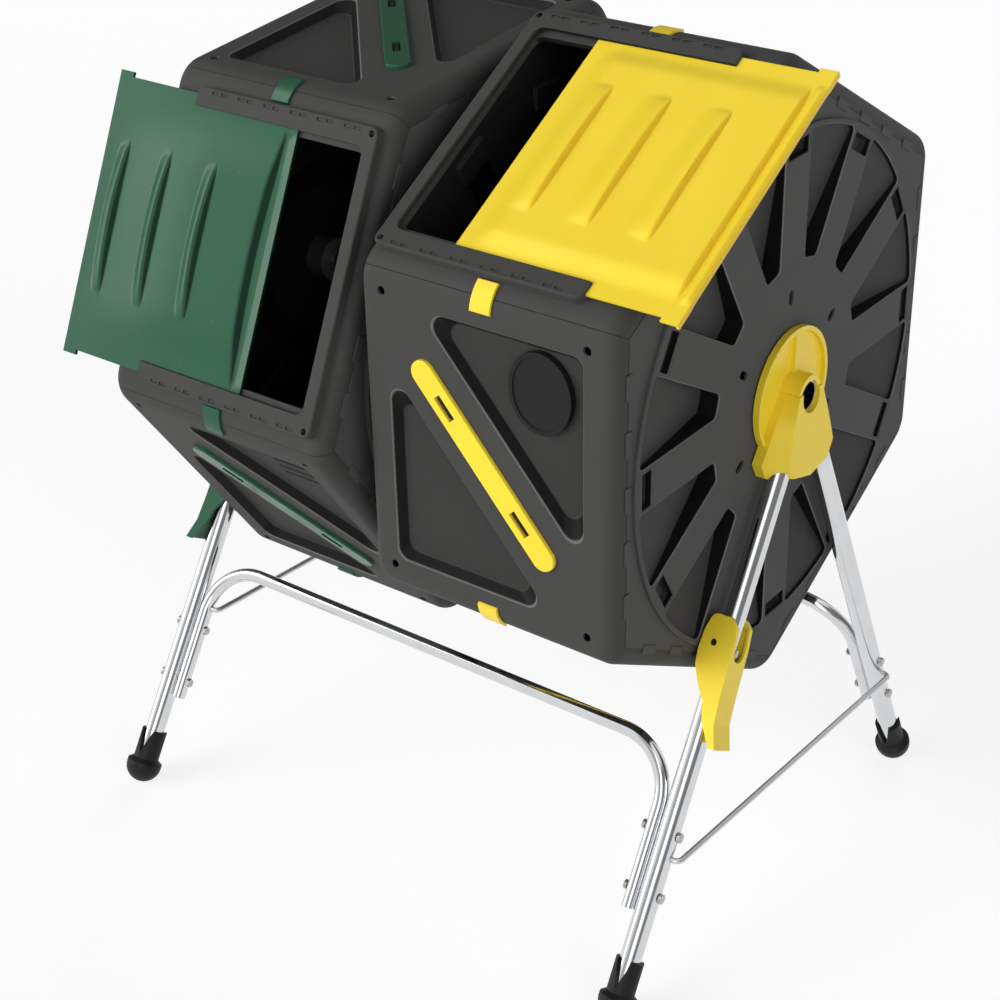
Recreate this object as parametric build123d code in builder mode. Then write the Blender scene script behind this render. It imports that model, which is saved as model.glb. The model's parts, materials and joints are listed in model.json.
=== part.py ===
"""Two-drum compost tumbler on a four-legged tube stand.

Millimetres. X runs along the axle, Y runs from front to back and Z is up.
The origin is on the floor under the middle of the axle.
"""

import os
from math import cos, hypot, radians, sin, sqrt, tan

from build123d import *

os.makedirs("parts", exist_ok=True)

# Drum sizes
ground_clearance = 230.86
drum_radius = 336.0
drum_length = 286.0
drum_gap = 23.0
right_corner_angle = 26.5
left_corner_angle = -8.5
wall = 3.0
corner_round = 35.0
end_round = 16.0
end_flange = 20.0
joint_gap = 0.15

# Axle and bushes
axle_radius = 16.0
axle_wall = 2.0
axle_end_inset = 2.0
bush_wall = 4.0
bush_flange = 3.0
running_fit = 0.05
fixed_fit = 0.03
spacer_wall = 5.0
spacer_play = 0.4

# End caps
cap_lap = 4.0
cap_seat_play = 0.2
cap_rim = 6.8
cap_disc_proud = 5.0
cap_boss_wall = 5.0
spoke_width = 46.0
recess_inner = 132.0
recess_rim = 5.3
recess_deep = 22.0
recess_shallow = 6.0
wedge_round = 6.0
wedge_edge = 1.6
lock_notch_width = 38.0
lock_notch_length = 17.0
lock_notch_inset = 18.2
lock_notch_depth = 13.0
vent_radius = 97.0
vent_length = 15.0
vent_width = 8.0
tab_count = 5
tab_end_margin = 45.5
tab_width = 25.0
tab_height = 1.4
tab_reach = 4.5
tab_play = 0.05

# Plain panels
recess_end_margin = 33.0
recess_side_margin = 31.0
recess_diagonal = 36.0
recess_depth = 11.0
recess_slope = 8.0
recess_round = 12.0
recess_edge = 2.2
bar_angle = 48.6
bar_length = 228.0
bar_width = 26.0
bar_height = 4.5
bar_edge = 1.8
bar_slot_offset = 63.0
bar_slot_length = 26.0
bar_slot_width = 8.0
tongue_length = 22.0
tongue_play = 0.3
vane_height = 62.0
vane_length = 190.0
vane_thickness = 5.0
vane_lug_width = 34.0
corner_hole_end = 29.0
corner_hole_inset = 23.0
corner_hole_radius = 4.2
vent_slot_count = 3
vent_slot_pitch = 13.0
vent_slot_length = 46.0
vent_slot_width = 5.0

# Corner clips
clip_width = 22.0
clip_play = 0.9
clip_thickness = 2.8

# Door frame and lids
frame_start = 10.5
frame_end_margin = 44.0
rail_wall = 7.6
frame_height = 10.4
frame_round = 9.0
frame_edge = 2.0
frame_bar = 13.5
frame_hole_inset = 7.0
frame_hole_radius = 3.2
frame_hole_depth = 4.0
mouth_ledge = 18.0
mouth_sill = 9.0
mouth_round = 10.0
lid_side_margin = 26.0
lid_slot_wall = 6.0
lid_thickness = 3.0
lid_seat_height = 3.6
lid_play = 0.4
right_lid_open = 76.0
left_lid_open = 91.0
lip_cover = 12.0
slot_overrun = 5.0
gate_overrun = 60.0
field_lip_gap = 3.0
lid_ear_length = 18.0
lid_ear_gap = 1.4
lid_ear_width = 5.0
lid_end_lip = 6.0
lid_field_inner_border = 22.0
lid_field_outer_border = 14.0
lid_field_height = 3.5
lid_field_end_slope = 11.0
lid_field_side_slope = 33.0
lid_field_round = 16.0
ramp_length = 28.0
ramp_height = 7.0
ramp_fall = 2.5
ramp_half_width = 70.0
ramp_count = 3
right_ramp_inset = 16.0
left_ramp_inset = 8.0
rail_mark_length = 9.0
rail_mark_width = 3.0
rail_mark_depth = 1.2
rail_mark_pitch = 34.0
rail_mark_count = 6
rail_mark_spread = 11.7
rail_mark_margin = 2.0

# Blank medallion on the right drum's front panel
medallion_inset = 50.0
medallion_width = 68.0
medallion_height = 80.0
medallion_thickness = 7.0
medallion_rim = 4.0
medallion_recess = 1.2

# Stand
leg_radius = 11.0
leg_wall = 1.6
leg_hub_wall = 3.0
leg_top_y = 31.7
leg_top_drop = 59.6
leg_splay = 8.8
leg_foot_y = 302.7
leg_in_socket = 12.0
hub_play = 1.5
hub_plate = 4.0
hub_dish_radius = 66.0
hub_rim_width = 5.0
hub_rim_height = 7.0
hub_dish_floor = 2.5
hub_boss_wall = 6.0
hub_boss_length = 24.0
hub_socket_wall = 4.0
hub_side_wall = 9.0
hub_facet_depth = 22.0
hub_facet_width = 18.0
hub_neck_rise = 6.0
hub_shoulder = 16.0
hub_corner = 10.0
hub_point = 8.0
hub_body_drop = 74.0
hub_slant_play = 0.5
hub_rib_width = 7.0
foot_sleeve_wall = 3.4
foot_sleeve_length = 38.0
foot_flange_radius = 20.0
foot_flange_rise = 4.0
foot_flat = 0.6
foot_notch_half_width = 8.5
foot_notch_length = 28.0
brace_radius = 7.5
brace_wall = 1.4
brace_bend = 60.0
brace_clearance = 23.5
brace_tail = 164.0
brace_side_gap = 0.2
bolts_below_bar = (81.0, 144.0)
bolt_radius = 2.5
bolt_head_radius = 5.0
bolt_head_height = 3.2
bolt_hole_play = 0.2
rod_radius = 3.0
rod_bend = 7.0
rod_stand_off = 5.0
right_rod_below_bar = 104.0
left_rod_below_bar = 55.0
rod_hole_play = 0.15

# Lock levers
lever_below_notch = 8.5
lever_nose_play = 2.4
lever_pin_inset = 6.0
lever_pin_radius = 3.5
lever_pin_recess = 2.0
lever_fit = 0.06
lever_cheek = 4.0
lever_play = 3.0
lever_web = 3.0
lever_crown = 7.0
lever_notch_width = 24.0
lever_notch_end = 14.0
lever_notch_start = 3.0
lever_notch_open = 60.0
lever_notch_cut = 20.0
lever_back_curve = ((-5, -28), (3, -20), (5, 0), (6, 22), (7, 50), (9, 76), (17, 99))
lever_handle_curve = ((10, 99), (-4, 78), (-10, 58))
lever_nose_curve = ((10, 42), (2, 26), (0, 10), (1, -10), (6, -28))
stop_screw_along = 6.0
stop_screw_radius = 4.0
stop_screw_height = 2.2
stop_screw_shank = 1.8

# Derived sizes
apothem = drum_radius * cos(radians(30))
half_side = drum_radius / 2
panel_middle = drum_length / 2
drum_inner = drum_gap / 2
cap_face = drum_length + cap_disc_proud
cap_disc_radius = apothem - end_flange - cap_rim
recess_outer = cap_disc_radius - recess_rim
lock_notch_radius = cap_disc_radius - lock_notch_inset
seat_apothem = apothem - end_flange - cap_seat_play
seat_side = 2 * seat_apothem * tan(radians(30))
tab_pitch = (seat_side - 2 * tab_end_margin) / (tab_count - 1)
recess_corner_x = panel_middle - recess_end_margin
recess_corner_y = half_side - recess_side_margin
corner_hole_x = panel_middle - corner_hole_end
corner_hole_y = half_side - corner_hole_inset
medallion_x = recess_corner_x - medallion_inset
medallion_y = recess_corner_y - medallion_inset
bush_bore = axle_radius + running_fit
bush_outer = bush_bore + bush_wall
boss_outer = bush_outer + cap_boss_wall
sector_reach = drum_radius + 60
frame_length = drum_length - frame_start - frame_end_margin
frame_end = frame_start + frame_length
frame_top = apothem + frame_height
lid_half_width = half_side - lid_side_margin
frame_half_width = lid_half_width + lid_play + rail_wall
mouth_half_width = lid_half_width - mouth_ledge
lid_shut_edge = frame_start + lid_slot_wall
lid_length = frame_end + lid_ear_gap + lid_ear_length - lid_shut_edge
clip_reach = (half_side - frame_half_width - clip_play) * cos(radians(30))
lid_bottom = apothem + lid_seat_height + lid_play
lid_top = lid_bottom + lid_thickness
drum_sweep = hypot(frame_top, frame_half_width)
axle_height = drum_sweep + ground_clearance
hub_inner_x = drum_inner + cap_face + hub_play
hub_boss_radius = axle_radius + hub_boss_wall
axle_half_length = hub_inner_x + hub_boss_length - axle_end_inset
leg_top_x = hub_inner_x + hub_plate + leg_hub_wall + leg_radius
leg_foot_x = leg_top_x + leg_splay
hub_body_depth = hub_plate + leg_hub_wall + 2 * leg_radius + hub_socket_wall
brace_radial = drum_sweep + brace_clearance + brace_radius
lever_radial = lock_notch_radius + lever_below_notch
lever_half_width = leg_radius + lever_play + lever_cheek
panel_face = Plane(origin=(panel_middle, 0, apothem), x_dir=(1, 0, 0), z_dir=(0, 0, 1))
bar_plane = panel_face.rotated((0, 0, -bar_angle))


def drum_place(side, angle):
    """Location that turns a piece drawn under an upright panel to the panel at this angle."""
    turn = 0 if side > 0 else 180
    return Location((side * drum_inner, 0, axle_height), (90 - angle, 0, turn))


def finish(piece, name):
    """Label a finished piece and write it."""
    piece.part.label = name
    export_step(piece.part, f"parts/{name}.step")


def hexagon_body(inset):
    """Solid hexagonal drum drawn in by the inset on every side."""
    with BuildPart() as body:
        with BuildSketch(Plane.YZ.offset(inset)) as outline:
            RegularPolygon(radius=apothem - inset, side_count=6, major_radius=False)
            fillet(outline.vertices(), corner_round - inset)
        extrude(amount=drum_length - 2 * inset)
        ends = body.faces().filter_by(Axis.X)
        fillet(ends.edges(), end_round - inset)
    return body.part


# Hollow drum skin with an open hexagon at each end, cut into panels further on
with BuildPart() as drum_skin:
    add(hexagon_body(0))
    add(hexagon_body(wall), mode=Mode.SUBTRACT)
    with BuildSketch(Plane.YZ.offset(-1)):
        RegularPolygon(radius=apothem - end_flange, side_count=6, major_radius=False)
    extrude(amount=drum_length + 2, mode=Mode.SUBTRACT)


def sector_sketch():
    """Sixth of the drum round the upright panel, less the joint gap."""
    half = sector_reach * tan(radians(30)) - joint_gap / cos(radians(30))
    with BuildSketch(Plane.YZ.offset(-1)) as sector:
        with BuildLine():
            Polyline((0, 2 * joint_gap), (half, sector_reach), (-half, sector_reach), close=True)
        make_face()
    return sector.sketch


def recess_triangle(inset):
    """Corners of a panel recess drawn in by the inset on its three sides."""
    nx = sin(radians(bar_angle))
    ny = cos(radians(bar_angle))
    right = recess_corner_x - inset
    top = recess_corner_y - inset
    line = recess_diagonal + inset
    return [(right, top), ((line - ny * top) / nx, top), (right, (line - nx * right) / ny)]


# Plain panel with two triangular recesses, tongue slots and corner holes
with BuildPart() as plain_panel:
    add(drum_skin.part)
    extrude(sector_sketch(), amount=drum_length + 2, mode=Mode.INTERSECT)
    for turn in (0, 180):
        face = panel_face.rotated((0, 0, turn))
        for inset, depth in ((-wall, wall / 2), (recess_slope - wall, recess_depth + wall)):
            with BuildSketch(face.offset(-depth)) as cup:
                Polygon(*recess_triangle(inset), align=None)
                fillet(cup.vertices(), recess_round)
        loft()
    for turn in (0, 180):
        face = panel_face.rotated((0, 0, turn))
        for inset, depth in ((-recess_slope / recess_depth, -1), (recess_slope, recess_depth)):
            with BuildSketch(face.offset(-depth)) as hollow:
                Polygon(*recess_triangle(inset), align=None)
                fillet(hollow.vertices(), recess_round)
        loft(mode=Mode.SUBTRACT)
    for level in (apothem, apothem - recess_depth):
        ring = plain_panel.edges().filter_by_position(Axis.Z, level, level)
        ring = ring.filter_by_position(Axis.X, panel_middle - recess_corner_x, panel_middle + recess_corner_x)
        fillet(ring.filter_by_position(Axis.Y, -recess_corner_y - 1, recess_corner_y + 1), recess_edge)
    with BuildSketch(bar_plane.offset(1)):
        with Locations((-bar_slot_offset, 0), (bar_slot_offset, 0)):
            Rectangle(tongue_length + 2 * tongue_play, vane_thickness + 2 * tongue_play)
    extrude(amount=-3 * wall, mode=Mode.SUBTRACT)
    with BuildSketch(panel_face.offset(1)):
        with GridLocations(2 * corner_hole_x, 2 * corner_hole_y, 2, 2):
            Circle(corner_hole_radius)
    extrude(amount=-2 * wall, mode=Mode.SUBTRACT)

# Panel below the left door, with air slots in one recess
with BuildPart() as vented_panel:
    add(plain_panel.part)
    with BuildSketch(panel_face.offset(-recess_depth + 1)):
        with Locations((-medallion_x, -medallion_y)):
            with GridLocations(1, vent_slot_pitch, 1, vent_slot_count):
                SlotOverall(vent_slot_length, vent_slot_width)
    extrude(amount=-2 * wall, mode=Mode.SUBTRACT)

# Mixing strip on the outside of a plain panel
with BuildPart() as mixing_strip:
    with BuildSketch(bar_plane):
        SlotOverall(bar_length, bar_width)
    extrude(amount=bar_height)
    fillet(mixing_strip.faces().sort_by(Axis.Z)[-1].edges(), bar_edge)
    with BuildSketch(bar_plane):
        with Locations((-bar_slot_offset, 0), (bar_slot_offset, 0)):
            Rectangle(bar_slot_length, bar_slot_width)
    extrude(amount=bar_height, mode=Mode.SUBTRACT)

# Mixing vane inside, with two tongues that reach up into the strip
with BuildPart() as mixing_vane:
    with BuildSketch(bar_plane.offset(-wall - vane_height)):
        Rectangle(vane_length, vane_thickness)
    extrude(amount=vane_height - recess_depth - wall)
    with BuildSketch(bar_plane.offset(-wall - recess_depth - 2 * wall)):
        with Locations((-bar_slot_offset, 0), (bar_slot_offset, 0)):
            Rectangle(vane_lug_width, vane_thickness)
    extrude(amount=recess_depth + 2 * wall)
    with BuildSketch(bar_plane.offset(-wall - 1)):
        with Locations((-bar_slot_offset, 0), (bar_slot_offset, 0)):
            Rectangle(tongue_length, vane_thickness)
    extrude(amount=wall + 1 + bar_height / 2)


def hexagon_outline(proud):
    """Rounded outline of the drum, set proud by the given amount."""
    with BuildSketch() as outline:
        RegularPolygon(radius=apothem + proud, side_count=6, major_radius=False)
        fillet(outline.vertices(), corner_round + proud)
    return outline.sketch


# Clip that wraps one drum corner, drawn on the corner beside the upright panel
with BuildPart() as corner_clip:
    with BuildSketch(Plane.YZ.offset(panel_middle - clip_width / 2)):
        add(hexagon_outline(clip_thickness))
        add(hexagon_outline(0), mode=Mode.SUBTRACT)
        with Locations((drum_radius, 0)):
            Rectangle(2 * clip_reach, 2 * clip_reach, mode=Mode.INTERSECT)
    extrude(amount=clip_width)


def wedge_sketch(margin):
    """Outline of one wedge recess of an end cap, about the upright direction."""
    slope = tan(radians(15))
    edge = (spoke_width / 2 - margin) / cos(radians(15))
    outer = recess_outer + margin
    low = recess_inner - margin
    high = (slope * edge + sqrt(outer**2 * (1 + slope**2) - edge**2)) / (1 + slope**2)
    low_half = low * slope - edge
    high_half = high * slope - edge
    with BuildSketch(Plane.YZ.offset(cap_face - recess_deep - 2 * wall)) as wedge:
        with BuildLine():
            Polyline((-high_half, high), (-low_half, low), (low_half, low), (high_half, high))
            RadiusArc((high_half, high), (-high_half, high), -outer)
        make_face()
        fillet(wedge.vertices(), wedge_round)
    return wedge.sketch


def wedge_floor(lower):
    """Plane of the sloping floor of a wedge recess, set lower by the given amount."""
    run = recess_outer - recess_inner
    rise = recess_deep - recess_shallow
    start = (cap_face - recess_deep, 0, recess_inner)
    return Plane(origin=start, x_dir=(0, 1, 0), z_dir=(run, 0, -rise)).offset(-lower)


def wedge_solid(margin, lower, height):
    """Solid over the sloping floor of one wedge recess."""
    with BuildPart() as wedge:
        extrude(wedge_sketch(margin), amount=recess_deep + 2 * wall + height)
        split(bisect_by=wedge_floor(lower), keep=Keep.TOP)
    return wedge.part


def around(count, start):
    """Even turns about the drum axis."""
    return [Location((0, 0, 0), (start + 360 / count * n, 0, 0)) for n in range(count)]


def notch_block(margin, height):
    """Block of one lock notch, widened by the margin and standing over the cap face by the height."""
    with BuildPart() as block:
        with BuildSketch(Plane.YZ.offset(cap_face - lock_notch_depth - margin)):
            with Locations((0, lock_notch_radius)):
                Rectangle(lock_notch_width + 2 * margin, lock_notch_length + 2 * margin)
            Circle(cap_disc_radius - wall / 2, mode=Mode.INTERSECT)
        extrude(amount=lock_notch_depth + margin + height)
    return block.part


def tab_row():
    """Row of snap tabs over one side of the end cap."""
    with BuildPart() as row:
        with BuildSketch(Plane.YZ.offset(drum_length + tab_play)):
            with Locations((0, seat_apothem)):
                with GridLocations(tab_pitch, 1, tab_count, 1):
                    Rectangle(tab_width, 2 * tab_reach)
        extrude(amount=tab_height)
    return row.part


# End cap, drawn at the outer end of the drum
with BuildPart() as end_cap:
    rim_back = drum_length - 2 * wall - cap_seat_play
    with BuildSketch(Plane.YZ.offset(rim_back)):
        RegularPolygon(radius=seat_apothem, side_count=6, major_radius=False)
    extrude(amount=drum_length - rim_back + wall / 5)
    with BuildSketch(Plane.YZ.offset(rim_back)):
        RegularPolygon(radius=seat_apothem + cap_lap, side_count=6, major_radius=False)
    extrude(amount=wall)
    with BuildSketch(Plane.YZ.offset(drum_length)):
        Circle(cap_disc_radius)
    extrude(amount=cap_disc_proud)
    with BuildSketch(Plane.YZ.offset(rim_back - 1)):
        Circle(cap_disc_radius - wall)
    extrude(amount=cap_face - wall - rim_back + 1, mode=Mode.SUBTRACT)
    with BuildSketch(Plane.YZ.offset(cap_face - recess_deep - wall)):
        Circle(boss_outer)
    extrude(amount=recess_deep + wall)
    with Locations(*around(12, 15)):
        add(wedge_solid(wall, wall, 0))
    with Locations(*around(12, 0)):
        add(notch_block(wall, 0))
    with Locations(*around(12, 15)):
        add(wedge_solid(0, 0, 1), mode=Mode.SUBTRACT)
    fillet(end_cap.edges().filter_by_position(Axis.X, cap_face, cap_face), wedge_edge)
    with Locations(*around(12, 0)):
        add(notch_block(0, 1), mode=Mode.SUBTRACT)
    with BuildSketch(Plane.YZ.offset(cap_face - 2 * wall)):
        with PolarLocations(vent_radius, 6):
            SlotOverall(vent_length, vent_width)
    extrude(amount=3 * wall, mode=Mode.SUBTRACT)
    with BuildSketch(Plane.YZ.offset(cap_face - recess_deep - 2 * wall)):
        Circle(bush_outer)
    extrude(amount=recess_deep + 3 * wall, mode=Mode.SUBTRACT)
    with Locations(*around(6, 0)):
        add(tab_row())

# Flanged bush inside an end cap boss
with BuildPart() as axle_bush:
    bush_start = cap_face - recess_deep - wall
    with BuildSketch(Plane.YZ.offset(bush_start)):
        Circle(bush_outer)
        Circle(bush_bore, mode=Mode.SUBTRACT)
    extrude(amount=recess_deep + wall)
    with BuildSketch(Plane.YZ.offset(bush_start)):
        Circle(boss_outer)
        Circle(bush_bore, mode=Mode.SUBTRACT)
    extrude(amount=-bush_flange)

# Door frame: the sixth panel with the raised frame, the mouth and the lid rails
with BuildPart() as door_frame:
    add(drum_skin.part)
    extrude(sector_sketch(), amount=drum_length + 2, mode=Mode.INTERSECT)
    frame_middle = frame_start + frame_length / 2
    with BuildSketch(Plane.XY.offset(apothem - wall)):
        with Locations((frame_middle, 0)):
            RectangleRounded(frame_length, 2 * frame_half_width, frame_round)
    extrude(amount=wall + frame_height)
    fillet(door_frame.faces().sort_by(Axis.Z)[-1].edges(), frame_edge)
    mouth_start = frame_start + frame_bar
    mouth_end = frame_end - mouth_sill
    with BuildSketch(Plane.XY.offset(apothem - 2 * wall)):
        with Locations(((mouth_start + mouth_end) / 2, 0)):
            RectangleRounded(mouth_end - mouth_start, 2 * mouth_half_width, mouth_round)
    extrude(amount=2 * wall + lid_seat_height + 1, mode=Mode.SUBTRACT)
    seat_level = apothem + lid_seat_height
    slot_start = lid_shut_edge - lid_play
    slot_half = lid_half_width + lid_play
    with BuildSketch(Plane.XY.offset(seat_level)):
        with Locations(((slot_start + frame_end + slot_overrun) / 2, 0)):
            Rectangle(frame_end + slot_overrun - slot_start, 2 * slot_half)
    extrude(amount=lid_thickness + 2 * lid_play, mode=Mode.SUBTRACT)
    lip_half = lid_half_width - lip_cover
    with BuildSketch(Plane.XY.offset(seat_level)) as lid_gate:
        with Locations(((mouth_start + frame_end + gate_overrun) / 2, 0)):
            RectangleRounded(frame_end + gate_overrun - mouth_start, 2 * lip_half, mouth_round)
    extrude(amount=frame_height, mode=Mode.SUBTRACT)
    mark_y = frame_half_width - rail_mark_width - rail_mark_margin
    with BuildSketch(Plane.XY.offset(frame_top)):
        with Locations((frame_middle, 0)):
            with GridLocations(rail_mark_pitch, 2 * mark_y, rail_mark_count, 2):
                with GridLocations(rail_mark_spread, 1, 2, 1):
                    Rectangle(rail_mark_length, rail_mark_width)
    extrude(amount=-rail_mark_depth, mode=Mode.SUBTRACT)
    with BuildSketch(Plane.XY.offset(frame_top)):
        with Locations((frame_start + frame_hole_inset, 0)):
            with GridLocations(1, 2 * (frame_half_width - frame_hole_inset), 1, 2):
                Circle(frame_hole_radius)
    extrude(amount=-frame_hole_depth, mode=Mode.SUBTRACT)


def grip_ramp(crest, facing, flat_start, flat_end, level):
    """One grip of a lid: a ramp up to the crest, clipped to the flat field, under a shallow dome."""
    dome = (ramp_half_width**2 + ramp_height**2) / (2 * ramp_height)
    foot = min(max(crest - facing * ramp_length, flat_start), flat_end)
    drop = crest + facing * ramp_fall
    with BuildPart() as ramp:
        with BuildSketch(Plane.XZ.offset(-ramp_half_width)):
            with BuildLine():
                Polyline(
                    (foot, level - 1),
                    (foot, level),
                    (crest, level + ramp_height),
                    (drop, level),
                    (drop, level - 1),
                    close=True,
                )
            make_face()
        extrude(amount=2 * ramp_half_width)
        with BuildSketch(Plane.YZ.offset(min(foot, drop) - 1)):
            with Locations((0, level + ramp_height - dome)):
                Circle(dome)
        extrude(amount=abs(drop - foot) + 2, mode=Mode.INTERSECT)
    return ramp.part


def lid_piece(side):
    """Sliding lid at its rest place, with its grips rising towards the right of the stand."""
    lid_inner_edge = lid_shut_edge + (right_lid_open if side > 0 else left_lid_open)
    lid_outer_edge = lid_inner_edge + lid_length
    middle = (lid_inner_edge + lid_outer_edge) / 2
    field_start = lid_inner_edge + lid_field_inner_border
    field_end = lid_outer_edge - lid_field_outer_border
    field_length = field_end - field_start
    field_middle = (field_start + field_end) / 2
    flat_start = field_start + lid_field_end_slope
    flat_end = field_end - lid_field_end_slope
    field_half = lid_half_width - lip_cover - field_lip_gap
    field_top = lid_top + lid_field_height
    with BuildPart() as lid:
        with BuildSketch(Plane.XY.offset(lid_bottom)):
            with Locations((middle, 0)):
                Rectangle(lid_length, 2 * lid_half_width)
            with Locations((lid_outer_edge - lid_ear_length / 2, 0)):
                Rectangle(lid_ear_length, 2 * (lid_half_width + lid_ear_width))
        extrude(amount=lid_thickness)
        with BuildSketch(Plane.XY.offset(lid_top - lid_end_lip)):
            with Locations((lid_outer_edge - wall / 2, 0)):
                Rectangle(wall, 2 * (lid_half_width + lid_ear_width))
        extrude(amount=lid_end_lip)
        for share, level in ((0, lid_bottom), (1, field_top)):
            length = field_length - 2 * share * lid_field_end_slope
            width = 2 * (field_half - share * lid_field_side_slope)
            with BuildSketch(Plane.XY.offset(level)):
                with Locations((field_middle, 0)):
                    RectangleRounded(length, width, lid_field_round)
        loft()
        for share, level in ((0, lid_bottom - 0.5), (1, field_top - wall)):
            length = field_length - 2 * share * lid_field_end_slope - 2 * wall
            width = 2 * (field_half - share * lid_field_side_slope - wall)
            with BuildSketch(Plane.XY.offset(level)):
                with Locations((field_middle, 0)):
                    RectangleRounded(length, width, lid_field_round - wall)
        loft(mode=Mode.SUBTRACT)
        first = flat_start + right_ramp_inset if side > 0 else flat_end - left_ramp_inset
        ramp_pitch = (flat_end - flat_start) / ramp_count
        for step in range(ramp_count):
            add(grip_ramp(first + side * step * ramp_pitch, side, flat_start, flat_end, field_top))
    return lid.part


# Placing the drum pieces
drums = (("right", 1, right_corner_angle), ("left", -1, left_corner_angle))
for name, side, corner in drums:
    door_angle = corner + 30
    panel_angles = [door_angle + 60 * n for n in range(1, 6)]

    for cap_name, mirror_place in (
        ("outer", Location((0, 0, 0))),
        ("inner", Location((drum_length, 0, 0), (0, 0, 180))),
    ):
        with BuildPart() as placed_cap:
            with Locations(drum_place(side, door_angle) * mirror_place):
                add(end_cap.part)
        finish(placed_cap, f"{name}_{cap_name}_end_cap")
        with BuildPart() as placed_bush:
            with Locations(drum_place(side, door_angle) * mirror_place):
                add(axle_bush.part)
        finish(placed_bush, f"{name}_{cap_name}_bush")

    for number, angle in enumerate(panel_angles, start=1):
        with BuildPart() as placed_panel:
            with Locations(drum_place(side, angle)):
                add(vented_panel.part if side < 0 and number == len(panel_angles) else plain_panel.part)
        finish(placed_panel, f"{name}_panel_{number}")

    with BuildPart() as placed_strips:
        with Locations(*[drum_place(side, angle) for angle in panel_angles]):
            add(mixing_strip.part)
    finish(placed_strips, f"{name}_mixing_strips")

    with BuildPart() as placed_vanes:
        with Locations(*[drum_place(side, angle) for angle in panel_angles]):
            add(mixing_vane.part)
    finish(placed_vanes, f"{name}_mixing_vanes")

    with BuildPart() as placed_clips:
        with Locations(*[drum_place(side, door_angle + 60 * n) for n in range(6)]):
            add(corner_clip.part)
    finish(placed_clips, f"{name}_corner_clips")

    with BuildPart() as placed_frame:
        with Locations(drum_place(side, door_angle)):
            add(door_frame.part)
    finish(placed_frame, f"{name}_door_frame")

    with BuildPart() as placed_lid:
        with Locations(drum_place(side, door_angle)):
            add(lid_piece(side))
    finish(placed_lid, f"{name}_lid")

# Blank medallion in the upper recess of the right drum's front panel
with BuildPart() as blank_disc:
    floor = panel_face.offset(-recess_depth)
    with BuildSketch(floor):
        with Locations((medallion_x, medallion_y)):
            Ellipse(medallion_width / 2, medallion_height / 2)
    extrude(amount=medallion_thickness)
    with BuildSketch(floor.offset(medallion_thickness)):
        with Locations((medallion_x, medallion_y)):
            Ellipse(medallion_width / 2 - medallion_rim, medallion_height / 2 - medallion_rim)
    extrude(amount=-medallion_recess, mode=Mode.SUBTRACT)

with BuildPart() as medallion:
    with Locations(drum_place(1, right_corner_angle - 30)):
        add(blank_disc.part)
finish(medallion, "medallion")

# Axle tube through both hubs
with BuildPart() as axle_tube:
    with BuildSketch(Plane.YZ.offset(-axle_half_length)):
        with Locations((0, axle_height)):
            Circle(axle_radius)
            Circle(axle_radius - axle_wall, mode=Mode.SUBTRACT)
    extrude(amount=2 * axle_half_length)
finish(axle_tube, "axle_tube")

# Spacer ring that keeps the drums apart on the axle
with BuildPart() as axle_spacer:
    spacer_half = drum_inner - cap_disc_proud - spacer_play
    with BuildSketch(Plane.YZ.offset(-spacer_half)):
        with Locations((0, axle_height)):
            Circle(axle_radius + spacer_wall)
            Circle(axle_radius + fixed_fit, mode=Mode.SUBTRACT)
    extrude(amount=2 * spacer_half)
finish(axle_spacer, "axle_spacer")


class Leg:
    """Axis of one leg and the planes that pieces on it are drawn on."""

    def __init__(self, side, back):
        self.side = side
        self.top = Vector(side * leg_top_x, back * leg_top_y, axle_height - leg_top_drop)
        self.foot = Vector(side * leg_foot_x, back * leg_foot_y, 0)
        self.length = (self.foot - self.top).length
        self.down = (self.foot - self.top).normalized()
        straight = Vector(side, 0, 0)
        self.out = (straight - self.down * straight.dot(self.down)).normalized()
        self.across = self.out.cross(self.down)

    def point(self, along, out=0.0, across=0.0):
        """Point at a distance down the leg, outwards and across."""
        return self.top + self.down * along + self.out * out + self.across * across

    def section(self, along):
        """Plane square to the leg."""
        return Plane(origin=self.point(along), x_dir=self.out, z_dir=self.down)

    def side_view(self, along=0.0, out=0.0):
        """Plane with outwards as x and down the leg as y."""
        return Plane(origin=self.point(along, out), x_dir=self.out, z_dir=self.across)

    def outward(self, along, out=0.0):
        """Plane that faces outwards from the leg."""
        return Plane(origin=self.point(along, out), x_dir=self.down, z_dir=self.out)


legs = {
    "right_front": Leg(1, -1),
    "right_rear": Leg(1, 1),
    "left_front": Leg(-1, -1),
    "left_rear": Leg(-1, 1),
}


def leg_along(radius):
    """Distance down a leg to the place that lies at this radius from the axle, seen along the axle."""
    down = legs["right_rear"].down
    start = Vector(0, leg_top_y, -leg_top_drop)
    step = Vector(0, down.Y, down.Z)
    square = step.dot(step)
    half = start.dot(step)
    return (sqrt(half**2 - square * (start.dot(start) - radius**2)) - half) / square


brace_bar_along = leg_along(brace_radial)
brace_end_along = brace_bar_along + brace_tail
bolt_along = [brace_bar_along + below for below in bolts_below_bar]
right_rod_along = brace_bar_along + right_rod_below_bar
left_rod_along = brace_bar_along + left_rod_below_bar
lever_along = leg_along(lever_radial)
brace_offset = leg_radius + brace_radius + brace_side_gap
foot_centre_rise = foot_flange_radius - foot_flat


def foot_centre(leg):
    """Distance down the leg to the middle of its foot's dome."""
    return leg.length - foot_centre_rise / abs(leg.down.Z)


def rod_place(leg):
    """Distance down the leg to the side rod, and its offset outwards from the leg."""
    if leg.side > 0:
        return right_rod_along, leg_radius + rod_radius + rod_stand_off
    return left_rod_along, -(leg_radius + 2 * brace_radius + rod_radius + rod_stand_off)


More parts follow.
